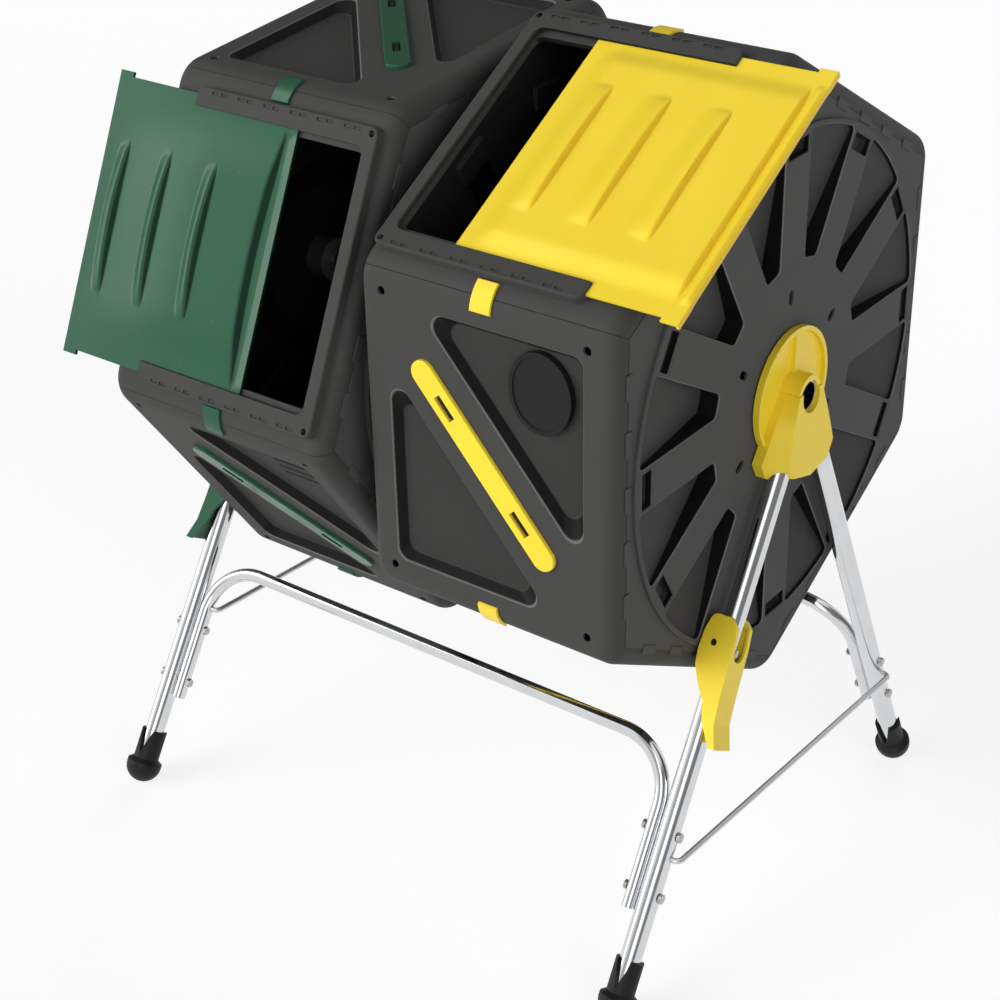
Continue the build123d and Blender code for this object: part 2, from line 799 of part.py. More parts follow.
# Legs with holes for the bolts, the rod hooks, the lever pins and the stop screws
for name, leg in legs.items():
    tube_end = foot_centre(leg) - foot_flange_rise
    with BuildPart() as tube:
        with BuildSketch(leg.section(-leg_in_socket)):
            Circle(leg_radius)
            Circle(leg_radius - leg_wall, mode=Mode.SUBTRACT)
        extrude(amount=tube_end + leg_in_socket)
        for along in bolt_along:
            with BuildSketch(leg.outward(along)):
                Circle(bolt_radius + bolt_hole_play)
            extrude(amount=2 * leg_radius, both=True, mode=Mode.SUBTRACT)
        rod_along, rod_out = rod_place(leg)
        if rod_out > 0:
            with BuildSketch(leg.outward(rod_along)):
                Circle(rod_radius + rod_hole_play)
            extrude(amount=2 * leg_radius, mode=Mode.SUBTRACT)
        if name.endswith("front"):
            with BuildSketch(leg.side_view(lever_along)):
                with Locations((-lever_pin_inset, 0)):
                    Circle(lever_pin_radius + fixed_fit)
            extrude(amount=2 * leg_radius, both=True, mode=Mode.SUBTRACT)
            with BuildSketch(leg.outward(lever_along + stop_screw_along)):
                Circle(stop_screw_shank + fixed_fit)
            extrude(amount=2 * leg_radius, mode=Mode.SUBTRACT)
    finish(tube, f"{name}_leg")

    with BuildPart() as foot:
        centre = foot_centre(leg)
        sleeve_top = centre - foot_flange_rise - foot_sleeve_length
        bore = leg_radius + fixed_fit
        sleeve = bore + foot_sleeve_wall
        with BuildSketch(leg.side_view()):
            with BuildLine():
                Polyline(
                    (0, tube_end),
                    (bore, tube_end),
                    (bore, sleeve_top),
                    (sleeve, sleeve_top),
                    (sleeve, tube_end - foot_flange_rise),
                    (foot_flange_radius, tube_end),
                    (foot_flange_radius, centre),
                )
                RadiusArc((foot_flange_radius, centre), (0, centre + foot_flange_radius), -foot_flange_radius)
                Line((0, centre + foot_flange_radius), (0, tube_end))
            make_face()
        revolve(axis=Axis(leg.top, leg.down))
        split(bisect_by=Plane.XY, keep=Keep.TOP)
        with BuildSketch(leg.side_view()):
            with BuildLine():
                Polyline(
                    (-foot_notch_half_width, sleeve_top - 1),
                    (foot_notch_half_width, sleeve_top - 1),
                    (0, sleeve_top + foot_notch_length),
                    close=True,
                )
            make_face()
        extrude(amount=2 * sleeve, both=True, mode=Mode.SUBTRACT)
    finish(foot, f"{name}_foot")


def hub_outline(narrow):
    """Outline of a hub bracket's body under the axle, drawn in at both sides."""
    slope = (leg_foot_y - leg_top_y) / (axle_height - leg_top_drop)
    socket = leg_top_y + slope * (hub_body_drop - leg_top_drop)
    side = socket + leg_radius * hypot(1, slope) + hub_side_wall - narrow
    corner = side - hub_corner
    return [
        (-hub_boss_radius, hub_neck_rise),
        (-side, hub_shoulder - hub_body_drop),
        (-corner, -hub_body_drop),
        (0, -hub_body_drop - hub_point),
        (corner, -hub_body_drop),
        (side, hub_shoulder - hub_body_drop),
        (hub_boss_radius, hub_neck_rise),
    ]


# Hub brackets with the dish, the axle boss and the two leg sockets
for name, side in (("right", 1), ("left", -1)):
    front = legs[f"{name}_front"]
    rear = legs[f"{name}_rear"]
    hub_plane = Plane(origin=(side * hub_inner_x, 0, axle_height), x_dir=(0, side, 0), z_dir=(side, 0, 0))
    with BuildPart() as hub:
        with BuildSketch(hub_plane):
            Circle(hub_dish_radius)
        extrude(amount=hub_rim_height)
        with BuildSketch(hub_plane.offset(hub_dish_floor)):
            Circle(hub_dish_radius - hub_rim_width)
        extrude(amount=hub_rim_height, mode=Mode.SUBTRACT)
        with BuildSketch(hub_plane):
            Circle(hub_boss_radius)
        extrude(amount=hub_boss_length)
        with BuildSketch(hub_plane):
            with Locations((0, hub_dish_radius / 2)):
                Rectangle(hub_rib_width, hub_dish_radius - hub_rim_width)
        extrude(amount=hub_rim_height)
        facet_start = hub_body_depth - hub_facet_depth
        with BuildSketch(hub_plane):
            Polygon(*hub_outline(0), align=None)
        extrude(amount=facet_start)
        for level, narrow in ((facet_start, 0), (hub_body_depth, hub_facet_width)):
            with BuildSketch(hub_plane.offset(level)):
                Polygon(*hub_outline(narrow), align=None)
        loft(ruled=True)
        slant_start = hub_boss_length + hub_slant_play
        slant = Plane(
            origin=(side * (hub_inner_x + slant_start), 0, axle_height + hub_boss_radius),
            x_dir=(0, 1, 0),
            z_dir=(side * (hub_body_drop + hub_boss_radius), 0, hub_body_depth - slant_start),
        )
        split(bisect_by=slant, keep=Keep.BOTTOM)
        with BuildSketch(hub_plane.offset(-1)):
            Circle(axle_radius + fixed_fit)
        extrude(amount=2 * hub_boss_length, mode=Mode.SUBTRACT)
        for leg in (front, rear):
            with BuildSketch(leg.section(-leg_in_socket)):
                Circle(leg_radius + fixed_fit)
            extrude(amount=hub_body_drop * 2, mode=Mode.SUBTRACT)
    finish(hub, f"{name}_hub_bracket")

# Braces: one bent tube inside the front legs and one inside the rear legs
for name in ("front", "rear"):
    right = legs[f"right_{name}"]
    left = legs[f"left_{name}"]
    with BuildPart() as brace:
        with BuildLine() as path:
            FilletPolyline(
                right.point(brace_end_along, -brace_offset),
                right.point(brace_bar_along, -brace_offset),
                left.point(brace_bar_along, -brace_offset),
                left.point(brace_end_along, -brace_offset),
                radius=brace_bend,
            )
        with BuildSketch(Plane(origin=path.line @ 0, z_dir=path.line % 0)):
            Circle(brace_radius)
            Circle(brace_radius - brace_wall, mode=Mode.SUBTRACT)
        sweep(path=path.line)
        for leg in (right, left):
            for along in bolt_along:
                with BuildSketch(leg.outward(along, -brace_offset)):
                    Circle(bolt_radius + bolt_hole_play)
                extrude(amount=1.5 * brace_radius, both=True, mode=Mode.SUBTRACT)
            rod_along, rod_out = rod_place(leg)
            if rod_out < 0:
                with BuildSketch(leg.outward(rod_along, -brace_offset)):
                    Circle(rod_radius + rod_hole_play)
                extrude(amount=-2 * brace_radius, mode=Mode.SUBTRACT)
    finish(brace, f"{name}_brace")

# Bolts with their nuts, through the legs and the brace ends
with BuildPart() as brace_bolts:
    for leg in legs.values():
        for along in bolt_along:
            inner = -(leg_radius + brace_side_gap + 2 * brace_radius)
            with BuildSketch(leg.outward(along, inner - bolt_head_height)):
                Circle(bolt_radius)
            extrude(amount=leg_radius - inner + 2 * bolt_head_height)
            with BuildSketch(leg.outward(along, leg_radius)):
                Circle(bolt_head_radius)
            extrude(amount=bolt_head_height)
            with BuildSketch(leg.outward(along, inner)):
                RegularPolygon(radius=bolt_head_radius, side_count=6)
            extrude(amount=-bolt_head_height)
finish(brace_bolts, "brace_bolts")

# Side rods with hooked ends
for name in ("right", "left"):
    front = legs[f"{name}_front"]
    rear = legs[f"{name}_rear"]
    rod_along, rod_out = rod_place(front)
    hook = 0 if rod_out > 0 else -brace_offset
    with BuildPart() as rod:
        with BuildLine() as path:
            FilletPolyline(
                front.point(rod_along, hook),
                front.point(rod_along, rod_out),
                rear.point(rod_along, rod_out),
                rear.point(rod_along, hook),
                radius=rod_bend,
            )
        with BuildSketch(Plane(origin=path.line @ 0, z_dir=path.line % 0)):
            Circle(rod_radius)
        sweep(path=path.line)
    finish(rod, f"{name}_side_rod")

# Lock levers, their pins and stop screws on the front legs
lever_lean = leg_splay * lever_along / legs["right_front"].length
nose = lever_nose_play - hub_play - hub_plate - leg_hub_wall - leg_radius - lever_lean
lever_outer = [(leg_radius + out, along) for out, along in lever_back_curve]
lever_inner = [(leg_radius + out, along) for out, along in lever_handle_curve]
lever_inner += [(nose + out, along) for out, along in lever_nose_curve]
for name in ("right", "left"):
    leg = legs[f"{name}_front"]
    view = leg.side_view(lever_along)
    with BuildPart() as lever:
        for side in (1, -1):
            with BuildSketch(view.offset(side * lever_half_width)) as cheek:
                Polygon(*lever_outer, *lever_inner, align=None)
                crown = cheek.vertices().sort_by(Axis.Y)[:3]
                fillet(crown, lever_crown)
            extrude(amount=-side * lever_cheek)
        with BuildSketch(view.offset(-lever_half_width)):
            web_outer = lever_outer[1:]
            web_inner = [(out - lever_web, along) for out, along in reversed(web_outer)]
            Polygon(*web_outer, *web_inner, align=None)
        extrude(amount=2 * lever_half_width)
        with BuildSketch(leg.outward(lever_along, leg_radius - lever_notch_start)):
            with Locations((lever_notch_end - lever_notch_width / 2, 0)):
                Circle(lever_notch_width / 2)
            with Locations((lever_notch_end - (lever_notch_width + lever_notch_open) / 2, 0)):
                Rectangle(lever_notch_open, lever_notch_width)
        extrude(amount=lever_notch_cut, mode=Mode.SUBTRACT)
        with BuildSketch(view):
            with Locations((-lever_pin_inset, 0)):
                Circle(lever_pin_radius + lever_fit)
        extrude(amount=2 * lever_half_width, both=True, mode=Mode.SUBTRACT)
    finish(lever, f"{name}_lock_lever")

    with BuildPart() as pin:
        with BuildSketch(view):
            with Locations((-lever_pin_inset, 0)):
                Circle(lever_pin_radius)
        extrude(amount=lever_half_width - lever_pin_recess, both=True)
    finish(pin, f"{name}_lever_pin")

with BuildPart() as stop_screws:
    for name in ("right", "left"):
        leg = legs[f"{name}_front"]
        with BuildSketch(leg.outward(lever_along + stop_screw_along, leg_radius)):
            Circle(stop_screw_radius)
        extrude(amount=stop_screw_height)
        with BuildSketch(leg.outward(lever_along + stop_screw_along, leg_radius - 2 * leg_wall)):
            Circle(stop_screw_shank)
        extrude(amount=2 * leg_wall)
finish(stop_screws, "stop_screws")
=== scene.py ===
"""Looks of the two-drum compost tumbler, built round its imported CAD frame."""

import json
import logging
from dataclasses import dataclass, replace
from enum import Enum
from functools import cached_property
from math import cos, pi, radians, sin
from typing import Any, Protocol

import bmesh
import bpy
from mathutils import Matrix, Vector


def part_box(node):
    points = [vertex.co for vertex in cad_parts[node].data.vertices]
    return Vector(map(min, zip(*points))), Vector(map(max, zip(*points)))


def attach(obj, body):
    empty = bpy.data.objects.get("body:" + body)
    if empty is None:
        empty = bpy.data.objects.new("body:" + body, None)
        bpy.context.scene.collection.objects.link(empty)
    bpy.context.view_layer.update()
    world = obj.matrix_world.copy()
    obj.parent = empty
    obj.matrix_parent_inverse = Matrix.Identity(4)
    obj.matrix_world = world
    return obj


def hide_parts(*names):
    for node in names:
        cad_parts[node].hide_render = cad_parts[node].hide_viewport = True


Colour = tuple[float, float, float]
Band = tuple[float, float]
MM = 0.001
PANEL_CHARCOAL = (0.0525, 0.052, 0.0505)
# The ends wear the panels' charcoal painted lighter: painted light that makes up for the weaker light falling on
# them.
CAP_CHARCOAL_PAINTED_LIGHTER = (0.07, 0.07, 0.069)
WHITE = (1.0, 1.0, 1.0)
EDGE_SAMPLES = 4

log = logging.getLogger("tumbler")
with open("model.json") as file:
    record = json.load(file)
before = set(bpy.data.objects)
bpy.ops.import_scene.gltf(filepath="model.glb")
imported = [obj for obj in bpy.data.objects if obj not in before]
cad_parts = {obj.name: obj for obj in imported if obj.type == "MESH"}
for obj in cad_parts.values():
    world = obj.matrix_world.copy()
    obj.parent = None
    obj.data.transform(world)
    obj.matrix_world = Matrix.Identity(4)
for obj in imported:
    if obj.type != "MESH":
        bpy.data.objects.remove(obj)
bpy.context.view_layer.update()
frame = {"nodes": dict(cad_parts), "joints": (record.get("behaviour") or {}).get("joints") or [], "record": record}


class Side(Enum):
    """Which drum a piece belongs to, as the sign of its X."""

    RIGHT = 1
    LEFT = -1

    @property
    def label(self) -> str:
        """Name prefix of the nodes on this side."""
        return self.name.lower()


class Wire:
    """A shader socket that adds Math nodes where it stands in an expression."""

    def __init__(self, graph: "Graph", socket: bpy.types.NodeSocket) -> None:
        """Keep the socket and the graph that it belongs to."""
        self.graph = graph
        self.socket = socket

    def math(self, operation: str, *others: "Wire | float") -> "Wire":
        """Add a Math node that starts from this socket.

        Args:
            operation: name of the Math operation.
            others: the second and third operands.

        Returns:
            The result of the operation.
        """
        operands = dict(enumerate((self, *others)))
        return self.graph.node("ShaderNodeMath", {"operation": operation}, operands)

    def flipped(self, operation: str, other: "Wire | float") -> "Wire":
        """Add a Math node with this socket as the second operand.

        Args:
            operation: name of the Math operation.
            other: the first operand.

        Returns:
            The result of the operation.
        """
        return self.graph.node("ShaderNodeMath", {"operation": operation}, {0: other, 1: self})

    def __add__(self, other: "Wire | float") -> "Wire":
        """Sum."""
        return self.math("ADD", other)

    def __radd__(self, other: "Wire | float") -> "Wire":
        """Sum with the number first."""
        return self.flipped("ADD", other)

    def __sub__(self, other: "Wire | float") -> "Wire":
        """Difference."""
        return self.math("SUBTRACT", other)

    def __rsub__(self, other: "Wire | float") -> "Wire":
        """Difference with the number first."""
        return self.flipped("SUBTRACT", other)

    def __mul__(self, other: "Wire | float") -> "Wire":
        """Product."""
        return self.math("MULTIPLY", other)

    def __rmul__(self, other: "Wire | float") -> "Wire":
        """Product with the number first."""
        return self.flipped("MULTIPLY", other)

    def __neg__(self) -> "Wire":
        """Opposite."""
        return self.flipped("SUBTRACT", 0.0)

    def rise(self, low: float, high: float) -> "Wire":
        """Smooth step of this value.

        Args:
            low: value where the step starts from 0.
            high: value where the step reaches 1.

        Returns:
            A value from 0 to 1.
        """
        return self.graph.node(
            "ShaderNodeMapRange",
            {"interpolation_type": "SMOOTHSTEP"},
            {"Value": self, "From Min": low, "From Max": high},
        )


class Graph:
    """Node tree of one finish or of the surroundings."""

    def __init__(self, owner: bpy.types.Material | bpy.types.World) -> None:
        """Start from the owner's own nodes."""
        owner.use_nodes = True
        self.owner = owner
        self.tree = owner.node_tree

    def plug(self, socket: bpy.types.NodeSocket, value: Any) -> None:
        """Link a wire to a socket, or set the socket's own value.

        Args:
            socket: the input to fill.
            value: a wire, a number, a vector or a colour.
        """
        if isinstance(value, Wire):
            self.tree.links.new(value.socket, socket)
        elif socket.type == "RGBA":
            socket.default_value = (*value[:3], 1.0)
        else:
            socket.default_value = value

    def node(
        self,
        kind: str,
        settings: dict[str, Any] | None = None,
        inputs: dict[str | int, Any] | None = None,
        output: str | int = 0,
    ) -> Wire:
        """Add any node.

        Args:
            kind: the node's type.
            settings: its settings, set before its sockets.
            inputs: values or wires by socket name or number.
            output: the socket that is handed back.

        Returns:
            The chosen output.
        """
        made = self.tree.nodes.new(kind)
        for key, value in (settings or {}).items():
            setattr(made, key, value)
        for key, value in (inputs or {}).items():
            self.plug(made.inputs[key], value)
        return Wire(self, made.outputs[output])

    @cached_property
    def spot(self) -> Wire:
        """Object coordinates, in metres."""
        return self.node("ShaderNodeTexCoord", output="Object")

    def axis(self, letter: str, vector: Wire | None = None) -> Wire:
        """One coordinate of a vector.

        Args:
            letter: X, Y or Z.
            vector: the vector, or None for the object coordinates.

        Returns:
            The coordinate.
        """
        return self.node("ShaderNodeSeparateXYZ", inputs={"Vector": vector or self.spot}, output=letter)

    def noise(self, scale: float, detail: float = 2.0, vector: Wire | None = None) -> Wire:
        """Cloudy pattern.

        Args:
            scale: features per metre.
            detail: octaves of finer pattern.
            vector: where to read it, or None for the object coordinates.

        Returns:
            A value about 0.5.
        """
        return self.node(
            "ShaderNodeTexNoise",
            inputs={"Vector": vector or self.spot, "Scale": scale, "Detail": detail},
        )

    def mix(self, factor: Wire | float, first: Any, second: Any) -> Wire:
        """Blend two colours.

        Args:
            factor: 0 for the first colour, 1 for the second.
            first: a colour or a wire.
            second: a colour or a wire.

        Returns:
            The blended colour.
        """
        return self.node(
            "ShaderNodeMix", {"data_type": "RGBA"}, {0: factor, 6: first, 7: second}, output=2
        )

    def soft_edge(self, radius: float) -> Wire:
        """Normal that rounds the edges of a moulding by this radius in metres."""
        return self.node("ShaderNodeBevel", {"samples": EDGE_SAMPLES}, {"Radius": radius})

    def bump(self, height: Wire, strength: float, depth: float, normal: Wire) -> Wire:
        """Bump on top of a normal.

        Args:
            height: pattern of the bump.
            strength: how much of it shows.
            depth: height of the pattern in metres.
            normal: the normal underneath.

        Returns:
            The new normal.
        """
        return self.node(
            "ShaderNodeBump",
            inputs={"Strength": strength, "Distance": depth, "Height": height, "Normal": normal},
        )

    def finish(self, **sockets: Any) -> bpy.types.Material:
        """Fill the surface shader's sockets, with spaces written as underscores.

        Args:
            sockets: values or wires by socket name.

        Returns:
            The material.
        """
        surface = self.tree.nodes["Principled BSDF"]
        for key, value in sockets.items():
            self.plug(surface.inputs[key.replace("_", " ")], value)
        return self.owner

    def output(self, shader: Wire) -> None:
        """Send a shader to the surface output."""
        target = next(node for node in self.tree.nodes if node.type.startswith("OUTPUT"))
        self.plug(target.inputs["Surface"], shader)

    def seen_ray(self) -> Wire:
        """1 for a ray from the camera, from a mirror or through glass."""
        kinds = ("Is Camera Ray", "Is Glossy Ray", "Is Transmission Ray")
        camera, glossy, clear = (self.node("ShaderNodeLightPath", output=kind) for kind in kinds)
        return camera.math("MAXIMUM", glossy).math("MAXIMUM", clear)


def material_graph(name: str) -> Graph:
    """Graph of a new material with this name."""
    return Graph(bpy.data.materials.new(name))


def tint(colour: Colour, factor: float) -> Colour:
    """Scale a colour.

    Args:
        colour: red, green and blue.
        factor: the multiplier.

    Returns:
        The scaled colour.
    """
    return tuple(channel * factor for channel in colour)


class Relief(Enum):
    """Which recesses a drum moulding has."""

    PANEL = "two triangular recesses in each side"
    CAP = "twelve wedges in each end"


class Finish(Protocol):
    """What every finish below offers: its name and its material."""

    name: str
    material: bpy.types.Material


@dataclass(frozen=True)
class DrumPlastic:
    """Charcoal moulding: matt textured faces, smooth recess walls, painted shade on the recess walls, on the
    recess floors and inside the drum, and a painted highlight on the recess rims.
    """

    name: str
    side: Side
    relief: Relief
    door_angle: float
    axle_height: float
    colour: Colour
    drum_inner: float = 11.5 * MM
    drum_length: float = 286.0 * MM
    apothem: float = 290.984 * MM
    recess_depth: float = 11.0 * MM
    recess_half_length: float = 115.0 * MM
    recess_half_width: float = 142.0 * MM
    cap_proud: float = 5.0 * MM
    wedge_inner: float = 132.0 * MM
    wedge_outer: float = 258.9 * MM
    wedge_deep: float = 22.0 * MM
    wedge_shallow: float = 6.0 * MM
    zone_margin: float = 1.0 * MM
    rim_start: Band = (0.1 * MM, 0.5 * MM)
    rim_end: Band = (1.2 * MM, 2.0 * MM)
    wall_start: Band = (1.2 * MM, 2.4 * MM)
    wall_end: Band = (0.5 * MM, 1.4 * MM)
    floor_start: Band = (2.4 * MM, 4.0 * MM)
    inside_turn: Band = (40.0 * MM, 90.0 * MM)
    cloud_scale: float = 11.0
    cloud_tints: Band = (0.85, 1.15)
    grain_scale: float = 700.0
    grain_strength: float = 0.2
    grain_depth: float = 0.4 * MM
    fleck_band: Band = (0.6, 0.8)
    fleck_share: float = 0.4
    fleck_tint: float = 1.7
    rim_share: float = 0.5
    rim_tint: float = 3.0
    floor_share: float = 0.75
    floor_tint: float = 0.6
    inside_tint: float = 0.25
    wall_tint: float = 0.1
    roughness: float = 0.55
    cloud_rough: float = 0.12
    wall_smooth: float = 0.15
    gloss: float = 0.11
    edge_round: float = 1.5 * MM

    def panel_depth(self, graph: Graph) -> tuple[Wire, Wire | float, Wire]:
        """Depth under the sides of the six-sided drum.

        Args:
            graph: the graph that needs it.

        Returns:
            The depth, the depth of the recess floors, and 1 where recesses may lie.
        """
        back = graph.axis("Y")
        up = graph.axis("Z") - self.axle_height
        turn = up.math("ARCTAN2", -back)
        half_sector = pi / 6
        folded = (turn - radians(self.door_angle)).math("WRAP", half_sector, -half_sector)
        reach = (back * back + up * up).math("SQRT")
        across = (reach * folded.math("SINE")).math("ABSOLUTE")
        middle = self.drum_inner + self.drum_length / 2
        along = (graph.axis("X").math("ABSOLUTE") - middle).math("ABSOLUTE")
        in_width = across.math("LESS_THAN", self.recess_half_width)
        in_length = along.math("LESS_THAN", self.recess_half_length)
        depth = self.apothem - reach * folded.math("COSINE")
        return depth, self.recess_depth, in_width * in_length

    def cap_depth(self, graph: Graph) -> tuple[Wire, Wire | float, Wire]:
        """Depth under the ends of the drum.

        Args:
            graph: the graph that needs it.

        Returns:
            The depth, the depth of the wedge floors, and 1 where wedges may lie.
        """
        back = graph.axis("Y")
        up = graph.axis("Z") - self.axle_height
        reach = (back * back + up * up).math("SQRT")
        along = graph.axis("X").math("ABSOLUTE") - self.drum_inner
        depth = (self.drum_length + self.cap_proud - along).math("MINIMUM", along + self.cap_proud)
        fall = (self.wedge_deep - self.wedge_shallow) / (self.wedge_outer - self.wedge_inner)
        floor = self.wedge_deep + self.wedge_inner * fall - reach * fall
        past_inner = reach.math("GREATER_THAN", self.wedge_inner - self.zone_margin)
        in_outer = reach.math("LESS_THAN", self.wedge_outer + self.zone_margin)
        return depth, floor, past_inner * in_outer

    def inside(self, graph: Graph) -> Wire:
        """1 on the faces that look into the drum.

        Args:
            graph: the graph that needs it.

        Returns:
            A value from 0 to 1.
        """
        facing = graph.node("ShaderNodeTexCoord", output="Normal")
        if self.relief is Relief.PANEL:
            up = graph.axis("Z") - self.axle_height
            outwards = graph.axis("Y", facing) * graph.axis("Y") + graph.axis("Z", facing) * up
        else:
            middle = self.side.value * (self.drum_inner + self.drum_length / 2)
            outwards = graph.axis("X", facing) * (graph.axis("X") - middle)
        return (-outwards).rise(*self.inside_turn)

    @cached_property
    def material(self) -> bpy.types.Material:
        """The finish as a material."""
        graph = material_graph(self.name)
        measure = self.panel_depth if self.relief is Relief.PANEL else self.cap_depth
        depth, floor, zone = measure(graph)
        # Mask of the painted highlight on the rims round the recesses.
        rims = depth.rise(*self.rim_start) * (1 - depth.rise(*self.rim_end)) * zone
        # Mask of the recess walls, which get painted shade and are made smoother.
        walls = depth.rise(*self.wall_start) * (floor - depth).rise(*self.wall_end) * zone
        # Mask of the painted shade on the recess floors.
        floors = depth.rise(*self.floor_start) * zone
        cloud = graph.noise(self.cloud_scale, detail=4.0)
        grain = graph.noise(self.grain_scale, detail=3.0)
        flecks = grain.rise(*self.fleck_band)
        # Painted highlight: the rims are painted lighter, broken up by the cloud.
        rim_highlight = rims * (1 - self.rim_share + cloud * self.rim_share)
        dull, bright = (tint(self.colour, factor) for factor in self.cloud_tints)
        tone = graph.mix(cloud, dull, bright)
        tone = graph.mix(flecks * self.fleck_share, tone, tint(self.colour, self.fleck_tint))
        tone = graph.mix(rim_highlight, tone, tint(self.colour, self.rim_tint))
        # Painted shade on the recess floors.
        tone = graph.mix(floors * self.floor_share, tone, tint(self.colour, self.floor_tint))
        # Painted shade on the faces that look into the drum.
        tone = graph.mix(self.inside(graph), tone, tint(self.colour, self.inside_tint))
        # Painted shade on the recess walls.
        tone = graph.mix(walls, tone, tint(self.colour, self.wall_tint))
        rough = self.roughness + cloud * self.cloud_rough - walls * self.wall_smooth
        rounded = graph.soft_edge(self.edge_round)
        normal = graph.bump(grain, self.grain_strength, self.grain_depth, rounded)
        return graph.finish(
            Base_Color=tone, Roughness=rough, Normal=normal, Specular_IOR_Level=self.gloss
        )


@dataclass(frozen=True)
class GlossPlastic:
    """Coloured moulding with a soft gloss, faint flow marks and a fine peel, and on the lids painted shade on
    faces that turn towards +X.
    """

    name: str
    colour: Colour
    shade: Colour
    roughness: float
    peel: float
    gloss: float = 0.4
    drop_colour: Colour | None = None
    drop_band: Band = (0.15, 0.6)
    stretch: tuple[float, float, float] = (1.0, 0.35, 0.35)
    flow_scale: float = 24.0
    flow_band: Band = (0.3, 0.7)
    flow_share: float = 0.5
    flow_rough: float = 0.08
    scuff_scale: float = 95.0
    scuff_band: Band = (0.6, 0.76)
    scuff_rough: float = 0.06
    peel_scale: float = 420.0
    peel_depth: float = 0.2 * MM
    edge_round: float = 0.9 * MM

    @cached_property
    def material(self) -> bpy.types.Material:
        """The finish as a material."""
        graph = material_graph(self.name)
        stretched = graph.node(
            "ShaderNodeMapping", inputs={"Vector": graph.spot, "Scale": self.stretch}
        )
        flow = graph.noise(self.flow_scale, detail=3.0, vector=stretched)
        scuff = graph.noise(self.scuff_scale, detail=5.0, vector=stretched).rise(*self.scuff_band)
        peel = graph.noise(self.peel_scale, detail=2.0)
        streaks = flow.rise(*self.flow_band) * self.flow_share
        colour = graph.mix(streaks, self.colour, self.shade)
        # Painted shade: faces that turn towards +X are tinted darker, standing in for the shade on the steep drops
        # of the lid's grips and on its end lip.
        if self.drop_colour:
            facing = graph.node("ShaderNodeTexCoord", output="Normal")
            painted_drop_shade = graph.axis("X", facing).rise(*self.drop_band)
            colour = graph.mix(painted_drop_shade, colour, self.drop_colour)
        rough = self.roughness + flow * self.flow_rough + scuff * self.scuff_rough
        normal = graph.bump(peel, self.peel, self.peel_depth, graph.soft_edge(self.edge_round))
        return graph.finish(
            Base_Color=colour, Roughness=rough, Normal=normal, Specular_IOR_Level=self.gloss
        )


@dataclass(frozen=True)
class PlatedTube:
    """Bright plated steel tube with faint drawing lines along its run."""

    name: str
    run: tuple[float, float, float]
    colour: Colour = (0.68, 0.69, 0.705)
    roughness: float = 0.08
    stretch: tuple[float, float, float] = (1.0, 1.0, 60.0)
    line_scale: float = 520.0
    line_rough: float = 0.05
    line_strength: float = 0.05
    line_depth: float = 0.1 * MM
    haze_scale: float = 30.0
    haze_band: Band = (0.35, 0.75)
    haze_share: float = 0.35
    haze_tint: float = 0.82
    smear_band: Band = (0.55, 0.8)
    smear_rough: float = 0.1
    edge_round: float = 0.5 * MM

    @cached_property
    def material(self) -> bpy.types.Material:
        """The finish as a material."""
        graph = material_graph(self.name)
        along = Vector(self.run).to_track_quat("Z", "Y").to_euler()
        lined_up = graph.node(
            "ShaderNodeMapping",
            {"vector_type": "TEXTURE"},
            {"Vector": graph.spot, "Rotation": tuple(along), "Scale": self.stretch},
        )
        lines = graph.noise(self.line_scale, detail=2.0, vector=lined_up)
        haze = graph.noise(self.haze_scale, detail=3.0)
        dulled = haze.rise(*self.haze_band) * self.haze_share
        colour = graph.mix(dulled, self.colour, tint(self.colour, self.haze_tint))
        smears = haze.rise(*self.smear_band)
        rough = self.roughness + lines * self.line_rough + smears * self.smear_rough
        rounded = graph.soft_edge(self.edge_round)
        normal = graph.bump(lines, self.line_strength, self.line_depth, rounded)
        return graph.finish(Base_Color=colour, Metallic=1.0, Roughness=rough, Normal=normal)


@dataclass(frozen=True)
class MattBlack:
    """Black moulded plastic that is a little dusty near the ground."""

    name: str
    colour: Colour = (0.009, 0.009, 0.009)
    dust: Colour = (0.03, 0.028, 0.026)
    dust_height: Band = (2.0 * MM, 30.0 * MM)
    dust_share: float = 0.6
    cloud_scale: float = 60.0
    cloud_rough: float = 0.2
    grain_scale: float = 600.0
    grain_strength: float = 0.15
    grain_depth: float = 0.3 * MM
    roughness: float = 0.42
    gloss: float = 0.2
    edge_round: float = 0.8 * MM

    @cached_property
    def material(self) -> bpy.types.Material:
        """The finish as a material."""
        graph = material_graph(self.name)
        grain = graph.noise(self.grain_scale, detail=3.0)
        cloud = graph.noise(self.cloud_scale, detail=4.0)
        low = 1 - graph.axis("Z").rise(*self.dust_height)
        colour = graph.mix(low * cloud * self.dust_share, self.colour, self.dust)
        rough = self.roughness + cloud * self.cloud_rough
        rounded = graph.soft_edge(self.edge_round)
        normal = graph.bump(grain, self.grain_strength, self.grain_depth, rounded)
        return graph.finish(
            Base_Color=colour, Roughness=rough, Normal=normal, Specular_IOR_Level=self.gloss
        )


@dataclass(frozen=True)
class WornMetal:
    """Zinc plated fastener with a cloudy passivated film."""

    name: str
    colour: Colour = (0.55, 0.55, 0.56)
    film: Colour = (0.42, 0.40, 0.36)
    film_band: Band = (0.35, 0.7)
    cloud_scale: float = 260.0
    cloud_rough: float = 0.25
    fine_scale: float = 1500.0
    fine_strength: float = 0.1
    fine_depth: float = 0.1 * MM
    roughness: float = 0.25
    edge_round: float = 0.4 * MM

    @cached_property
    def material(self) -> bpy.types.Material:
        """The finish as a material."""
        graph = material_graph(self.name)
        cloud = graph.noise(self.cloud_scale, detail=4.0)
        fine = graph.noise(self.fine_scale, detail=2.0)
        colour = graph.mix(cloud.rise(*self.film_band), self.colour, self.film)
        rough = self.roughness + cloud * self.cloud_rough
        rounded = graph.soft_edge(self.edge_round)
        normal = graph.bump(fine, self.fine_strength, self.fine_depth, rounded)
        return graph.finish(Base_Color=colour, Metallic=1.0, Roughness=rough, Normal=normal)


